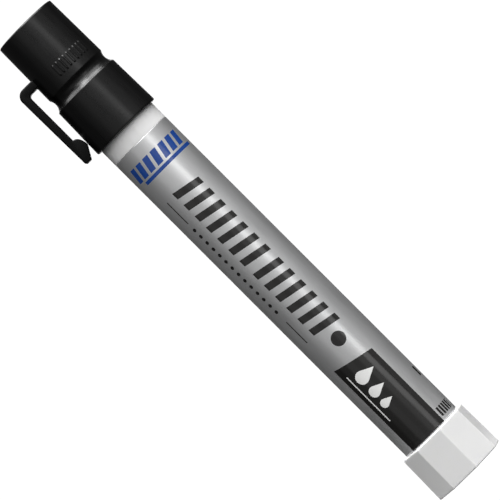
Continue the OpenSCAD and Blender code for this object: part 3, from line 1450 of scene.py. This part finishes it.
@dataclass
class FeedAssembly(SubAssembly):
    """Carrier that climbs the screw, and the stick of paint that it carries.

    nut and core are the hollows for the carrier's nut and for the screw, and
    rough and lumps the unevenness of the cast paint.
    """

    body: ClassVar[Body] = Body.FEED
    r: float = 6.4
    tip: float = 131.45
    tip_dip: float = 0.01
    dome_h: float = 2.2
    dome_start: float = 1.5
    dome_steps: int = 12
    dome_round: float = 0.5
    row_top: int = 128
    row_pitch: int = 3
    foot: float = 23.6
    foot_r: float = 5.65
    foot_high: float = 28.7
    foot_round: float = 0.2
    step_round: float = 0.15
    nut_r: float = 4.4
    nut_top: float = 29.7
    core_r: float = 3.0
    core_top: float = 122.45
    steps: int = 96
    rough: float = 0.03
    rough_least: float = 0.3
    rough_run: float = 6.0
    lumps_round: float = 2.0
    lumps_along: float = 0.5

    def cast_lift(self, a: float, z: float) -> float:
        """Slight unevenness of the cast paint, strongest at the tip.

        Args:
            a: Angle round the axis.
            z: Height.

        Returns:
            Extra radius, 0 or less.
        """
        turn = math.radians(a)
        across = self.lumps_round
        spot = Vector((math.sin(turn) * across, -math.cos(turn) * across, z * self.lumps_along))
        near_tip = smooth((z - self.tip + self.rough_run) / self.rough_run)
        share = self.rough_least + (1 - self.rough_least) * near_tip
        return -self.rough * share * (1 + noise.noise(spot)) / 2

    def side(self) -> list[Pair]:
        """Radius and height of the stick from its tip down to its foot.

        Returns:
            The points of the profile.
        """
        dome = (self.r**2 + self.dome_h**2) / (2 * self.dome_h)
        half = math.degrees(math.asin(self.r / dome))
        top = bow((0.0, self.tip - dome), dome, (90 - self.dome_start, 90 - half), self.dome_steps)
        rows = range(self.row_top, int(self.foot_high) + 1, -self.row_pitch)
        return rounded(
            [
                *corners(top[:-1]),
                Corner(*top[-1], self.dome_round),
                *corners((self.r, z) for z in rows),
                Corner(self.r, self.foot_high, self.step_round),
                Corner(self.foot_r, self.foot_high),
                Corner(self.foot_r, self.foot, self.foot_round),
                Corner(self.nut_r, self.foot),
            ],
            closed=False,
        )

    def build_stick(self) -> None:
        """Stick of solid paint, hollow round the screw."""
        inner = [(self.nut_r, self.nut_top), (self.core_r, self.nut_top), (self.core_r, self.core_top)]
        angles = turns(self.steps)
        maker = MeshMaker(STICK)
        made = maker.tube(turned(self.side(), angles, self.cast_lift) + turned(inner, angles))
        maker.fan(made[0], self.tip - self.tip_dip)
        maker.fan(made[-1], self.core_top)
        self.settle(maker.make(), Slot.PAINT, SolidPaint(), "paint_stick")

    def build(self) -> None:
        """Builds the paint and dresses the carrier."""
        self.build_stick()
        self.keep("elevator", NATURAL_PLASTIC)


@dataclass
class CapAssembly(SubAssembly):
    """Push-on cap: bell, hollow waist and long head with a patch of grip ribs.

    Heights start at the cap's mouth. flare and under are the hollow's two
    bows, towards the bell and towards the head; skipped is the number of
    their points that the roundings at their ends take up.
    """

    body: ClassVar[Body] = Body.CAP
    length: float = 34.9
    edge: float = 0.4
    bell_r: float = 9.6
    bell_top_r: float = 9.3
    bell_rows: Pair = (9.0, 4.5)
    bell_bore: float = 8.175
    bell_depth: float = 12.6
    lead: float = 0.2
    lead_round: float = 0.06
    waist_r: float = 8.3
    waist_z: float = 15.9
    flare_r: float = 2.6
    flare_steps: int = 16
    flare_round: float = 0.45
    under_r: float = 2.85
    under_steps: int = 12
    under_round: float = 0.6
    skipped: int = 3
    head_low_r: float = 8.8
    head_top_r: float = 8.57
    head_rows: Triple = (32.0, 29.0, 26.0)
    head_bore: float = 6.8
    ledge_round: float = 0.15
    end_t: float = 1.8
    ceiling_round: float = 0.5
    ceiling_r: float = 1.0
    gate_r: float = 1.4
    gate_depth: float = 0.18
    gate_slope: float = 0.2
    gate_round: float = 0.1
    steps: int = 120
    fine_step: float = 0.6
    fine_margin: float = 4.0
    rib_span: Pair = (-15.0, 47.0)
    rib_count: int = 9
    rib_z: Pair = (19.5, 22.9)
    rib_rise: float = 0.16
    rib_half: float = 0.3
    rib_flank: float = 0.16
    rib_end: float = 0.35
    rib_row: float = 0.15
    rib_margin: float = 0.2
    pocket_r: float = 1.25
    pocket_w: float = 5.8
    pocket_steps: int = 48

    def rib_lift(self, a: float, z: float) -> float:
        """Height of the grip ribs. The bore has no loops at the ribs' height, so they show outside only.

        Args:
            a: Angle round the axis.
            z: Height.

        Returns:
            Extra radius.
        """
        low, high = self.rib_z
        ends = smooth((z - CAP_MOUTH - low) / self.rib_end) * smooth((high - z + CAP_MOUTH) / self.rib_end)
        if ends <= 0:
            return 0.0
        first, last = self.rib_span
        pitch = (last - first) / (self.rib_count - 1)
        nearest = min(self.rib_count - 1, max(0, round((a - first) / pitch)))
        off = math.radians(abs(a - first - pitch * nearest)) * self.head_low_r
        return self.rib_rise * ends * smooth((self.rib_half - off) / self.rib_flank)

    def head(self, foot: float) -> list[Pair]:
        """Radius and height of the head, with close rows at the ribs.

        Args:
            foot: Height where the head starts.

        Returns:
            The points from the top down.
        """
        low, high = self.rib_z
        count = int((high - low + 2 * self.rib_margin) / self.rib_row) + 1
        rows = [high + self.rib_margin - self.rib_row * k for k in range(count)]
        taper = (self.head_top_r - self.head_low_r) / (self.length - foot)
        return [(self.head_low_r + taper * (z - foot), z) for z in (*self.head_rows, *rows)]

    def profile(self) -> list[Pair]:
        """Radius and height of the cap from the middle of its top, down the outside and up the bore.

        Returns:
            The points of the profile.
        """
        flare_mid, under_mid = self.waist_r + self.flare_r, self.waist_r + self.under_r
        flare_turn = math.degrees(math.acos((flare_mid - self.bell_top_r) / self.flare_r))
        under_turn = math.degrees(math.acos((under_mid - self.head_low_r) / self.under_r))
        flare = bow((flare_mid, self.waist_z), self.flare_r, (180, 180 + flare_turn), self.flare_steps)
        under = bow((under_mid, self.waist_z), self.under_r, (180 - under_turn, 180), self.under_steps)
        taper = (self.bell_top_r - self.bell_r) / flare[-1][1]
        ceiling = self.length - self.end_t
        outline = [
            Corner(self.gate_r - self.gate_slope, self.length - self.gate_depth),
            Corner(self.gate_r, self.length, self.gate_round),
            Corner(self.head_top_r, self.length, self.edge),
            *corners(self.head(under[0][1])),
            Corner(*under[0], self.under_round),
            *corners(under[self.skipped:]),
            *corners(flare[1:-self.skipped]),
            Corner(*flare[-1], self.flare_round),
            *corners((self.bell_r + taper * z, z) for z in self.bell_rows),
            Corner(self.bell_r, 0.0, self.edge),
            Corner(self.bell_bore + self.lead, 0.0, self.lead_round),
            Corner(self.bell_bore, self.lead),
            Corner(self.bell_bore, self.bell_depth),
            Corner(self.head_bore, self.bell_depth, self.ledge_round),
            Corner(self.head_bore, ceiling, self.ceiling_round),
            Corner(self.ceiling_r, ceiling),
        ]
        return [(r, z + CAP_MOUTH) for r, z in rounded(outline, closed=False)]

    def cut_pocket(self, cap: bpy.types.Object) -> None:
        """Cuts the pocket in the head that the clip's root turns in.

        Args:
            cap: The cap's mesh object.
        """
        mid = (CLIP_ROOT[0], CLIP_ROOT[1] + CAP_MOUTH)
        half = self.pocket_w / 2
        circle = bow(mid, self.pocket_r, (0, 360), self.pocket_steps)[:-1]
        maker = MeshMaker("pocket_cutter")
        for loop in maker.tube([[(x, y, z) for x, z in circle] for y in (-half, half)]):
            maker.lid(loop)
        cutter = maker.make()
        cut = cap.modifiers.new("pocket", "BOOLEAN")
        cut.operation = "DIFFERENCE"
        cut.solver = "EXACT"
        cut.object = cutter
        bpy.context.view_layer.update()
        ready = cap.evaluated_get(bpy.context.evaluated_depsgraph_get())
        mesh = bpy.data.meshes.new_from_object(ready)
        cap.modifiers.clear()
        cap.data = mesh
        bpy.data.objects.remove(cutter)
        shade(mesh)

    def build_shell(self) -> None:
        """Cap shell with its ribs and the clip's pocket."""
        first, last = self.rib_span
        angles = turns(self.steps, (first - self.fine_margin, last + self.fine_margin, self.fine_step))
        profile = self.profile()
        maker = MeshMaker("cap_cover")
        made = maker.tube(turned(profile, angles, self.rib_lift))
        maker.fan(made[0], profile[0][1])
        maker.fan(made[-1], profile[-1][1])
        cap = maker.make()
        self.cut_pocket(cap)
        self.settle(cap, Slot.BLACK, BLACK_PLASTIC, "cap_shell")

    def build(self) -> None:
        """Builds the shell and dresses the seal in it."""
        self.build_shell()
        self.keep("cap_seal", SoftRubber())


@dataclass
class ClipAssembly(SubAssembly):
    """Springy pocket clip with a rounded root and a bump at its tip.

    Places are along X, and heights start at the cap's mouth.
    """

    body: ClassVar[Body] = Body.CLIP
    root_r: float = 1.15
    root_steps: int = 14
    out: float = -13.65
    arm_rows: tuple[Pair, ...] = ((-13.55, 14.0), (-13.45, 7.0))
    inner: float = -11.45
    inner_row: float = 12.0
    bend_out: float = 2.2
    bend_out_steps: int = 14
    bend_in: float = 0.9
    bend_in_steps: int = 10
    tip_out: float = -13.35
    tip_in: float = -11.5
    tip_low: float = 0.4
    tip_edge: float = 0.4
    tip_round: float = 0.3
    bump: Pair = (-9.57, 3.75)
    bump_run: float = 3.0
    bump_round: float = 0.5
    bump_start: float = 12.0
    bump_steps: int = 12
    width: float = 5.6
    edge: float = 0.35
    edge_steps: int = 5

    def side(self) -> list[Pair]:
        """Side view of the clip, counter-clockwise.

        Returns:
            The points of its outline.
        """
        bend_out, bend_in = self.bend_out, self.bend_in
        out_mid = (self.out + bend_out, CLIP_ROOT[1] + self.root_r - bend_out)
        in_mid = (self.inner + bend_in, CLIP_ROOT[1] - self.root_r - bend_in)
        bump_mid, bump_radii = (self.inner, self.bump[1]), (self.bump[0] - self.inner, self.bump_run)
        outline = [
            *corners(bow(CLIP_ROOT, self.root_r, (-90, 90), self.root_steps)),
            *corners(bow(out_mid, bend_out, (90, 180), self.bend_out_steps)),
            *corners(self.arm_rows),
            Corner(self.tip_out, self.tip_low + self.tip_edge, self.tip_round),
            Corner(self.tip_out + self.tip_edge, self.tip_low, self.tip_round),
            Corner(self.tip_in, self.tip_low, self.tip_round),
            Corner(*self.bump, self.bump_round),
            *corners(arc(bump_mid, bump_radii, (self.bump_start, 90), self.bump_steps)),
            Corner(self.inner, self.inner_row),
            *corners(bow(in_mid, bend_in, (180, 90), self.bend_in_steps)),
        ]
        return [(x, z + CAP_MOUTH) for x, z in rounded(outline)]

    def build(self) -> None:
        """Builds the clip with softened edges."""
        side = self.side()
        half = self.width / 2
        rows: list[Pair] = []
        for k in range(self.edge_steps + 1):
            a = math.pi / 2 * k / self.edge_steps
            rows.append((self.edge * (1 - math.sin(a)), half - self.edge * (1 - math.cos(a))))
        near = [(depth, -y) for depth, y in rows]
        maker = MeshMaker("pocket_clip_arm")
        loops = [[(x, y, z) for x, z in inset(side, depth)] for depth, y in near + rows[::-1]]
        made = maker.tube(loops)
        maker.lid(made[0])
        maker.lid(made[-1])
        self.settle(maker.make(), Slot.BLACK, CLIP_PLASTIC, "pocket_clip")


# Studio


@dataclass(frozen=True)
class Softbox:
    """A flat lamp that faces the marker, with its place, its size and the level of its light."""

    name: str
    azimuth: float
    elevation: float
    distance: float
    width: float
    height: float
    level: float

    def light(self, target: Vector) -> None:
        """Hangs the lamp.

        Args:
            target: Point that the lamp faces.
        """
        az, el = math.radians(self.azimuth), math.radians(self.elevation)
        way = Vector((math.sin(az) * math.cos(el), -math.cos(az) * math.cos(el), math.sin(el)))
        data = bpy.data.lights.new(self.name, "AREA")
        data.shape = "RECTANGLE"
        data.size = self.width
        data.size_y = self.height
        data.energy = self.level * math.pi * self.width * self.height
        lamp = bpy.data.objects.new(self.name, data)
        lamp.location = target + way * self.distance
        lamp.rotation_euler = way.to_track_quat("Z", "Y").to_euler()
        lamp.visible_camera = False
        bpy.context.scene.collection.objects.link(lamp)


@dataclass
class Studio:
    """Floor, backdrop, lamps, world and camera."""

    floor_r: float = 0.06
    floor_glow: float = 0.9
    backdrop_r: float = 0.33
    backdrop_y: float = 2.0
    backdrop_glow: float = 1.0
    disc_shares: Triple = (1.0, 0.5, 0.1)
    disc_steps: int = 96
    sky_level: float = 0.0443
    target: Triple = (0.000085, 0.0, 0.07536)
    camera_away: float = 1.194
    lens: float = 355.3
    sensor: float = 36.0
    sight: float = 20.0
    roll: float = 45.0
    lamps: tuple[Softbox, ...] = (
        Softbox("low_a", -57.5, 6.0, 1.5, 0.67, 0.75, 0.0816),
        Softbox("low_b", -32.5, 6.0, 1.5, 0.67, 0.75, 0.276),
        Softbox("low_c", -10.0, 6.0, 1.5, 0.53, 0.75, 0.223),
        Softbox("low_d", 8.5, 6.0, 1.5, 0.45, 0.75, 0.42),
        Softbox("low_e", 28.5, 6.0, 1.5, 0.5, 0.75, 1.26),
        Softbox("low_f", 56.0, 6.0, 1.5, 0.75, 0.75, 0.276),
        Softbox("low_g", 87.5, 6.0, 1.5, 0.95, 0.75, 0.0857),
        Softbox("mid_b", 8.0, 36.0, 1.2, 1.0, 0.5, 3.41),
        Softbox("mid_c", 66.0, 36.0, 1.2, 1.0, 0.5, 3.04),
        Softbox("top_a", -85.0, 64.0, 1.2, 0.96, 0.62, 3.74),
        Softbox("top_b", 9.0, 70.0, 1.2, 0.36, 1.1, 13.9),
        Softbox("top_c", 82.0, 64.0, 1.2, 0.9, 0.62, 7.6),
        Softbox("back", 180.0, 24.0, 1.0, 0.5, 1.0, 1.6),
    )
    strongest: tuple[str, ...] = ("top_b", "top_c")

    def build_disc(self, name: str, r: float, glow: float, spot: Callable[[float, float], Triple]) -> None:
        """Builds a round piece of the stage.

        Args:
            name: Its name.
            r: Its radius.
            glow: Its brightness to the eye, 1 being white.
            spot: Place of a point of the round, in millimetres.
        """
        maker = MeshMaker(name)
        ring = bow((0.0, 0.0), r / MM, (0, 360), self.disc_steps)[:-1]
        made = maker.tube([[spot(x * share, y * share) for x, y in ring] for share in self.disc_shares])
        maker.lid(made[-1])
        obj = maker.make()
        obj.data.materials.append(StageWhite(name + "_white", glow).material())

    def build_stage(self) -> None:
        """Round pale floor and a pale disc far behind the marker."""
        away, middle = self.backdrop_y / MM, self.target[2] / MM
        self.build_disc("floor", self.floor_r, self.floor_glow, lambda x, y: (x, y, 0.0))
        self.build_disc("backdrop", self.backdrop_r, self.backdrop_glow, lambda x, y: (x, away, y + middle))

    def build_world(self) -> None:
        """Plain dim surroundings."""
        world = bpy.data.worlds.new("surroundings")
        world.use_nodes = True
        sky = world.node_tree.nodes["Background"]
        sky.inputs["Strength"].default_value = self.sky_level
        sky.inputs["Color"].default_value = rgba((1.0,) * 3)
        bpy.context.scene.world = world

    def build_camera(self) -> None:
        """Camera level with the marker's middle, rolled so that the marker lies aslant."""
        turn = math.radians(self.roll)
        right = Vector((math.cos(turn), 0.0, -math.sin(turn)))
        up = Vector((math.sin(turn), 0.0, math.cos(turn)))
        back = right.cross(up)
        data = bpy.data.cameras.new("camera")
        data.lens = self.lens
        data.sensor_width = self.sensor
        data.clip_end = self.sight
        camera = bpy.data.objects.new("camera", data)
        place = Matrix((right, up, back)).transposed().to_4x4()
        place.translation = Vector(self.target) + back * self.camera_away
        camera.matrix_world = place
        bpy.context.scene.collection.objects.link(camera)
        bpy.context.scene.camera = camera

    def build(self) -> None:
        """Builds the studio."""
        bpy.context.scene.view_settings.view_transform = "Standard"
        self.build_camera()
        self.build_stage()
        self.build_world()
        for lamp in self.lamps:
            lamp.light(Vector(self.target))

    def spare(self, name: str) -> None:
        """Keeps the strongest lamps off a pale piece that would clip to white under them.

        Args:
            name: Name of the piece.
        """
        spared = bpy.data.collections.new("spared")
        spared.objects.link(bpy.data.objects[name])
        spared.collection_objects[0].light_linking.link_state = "EXCLUDE"
        for lamp in self.strongest:
            bpy.data.objects[lamp].light_linking.receiver_collection = spared


def main() -> None:
    """Builds the studio and the marker, one sub-assembly after another."""
    logging.basicConfig(level=logging.INFO, format="%(name)s: %(message)s")
    studio = Studio()
    studio.build()
    for part in (KnobAssembly(), HolderAssembly(), FeedAssembly(), CapAssembly(), ClipAssembly()):
        part.build()
    studio.spare(STICK)


if __name__ == "__main__":
    main()
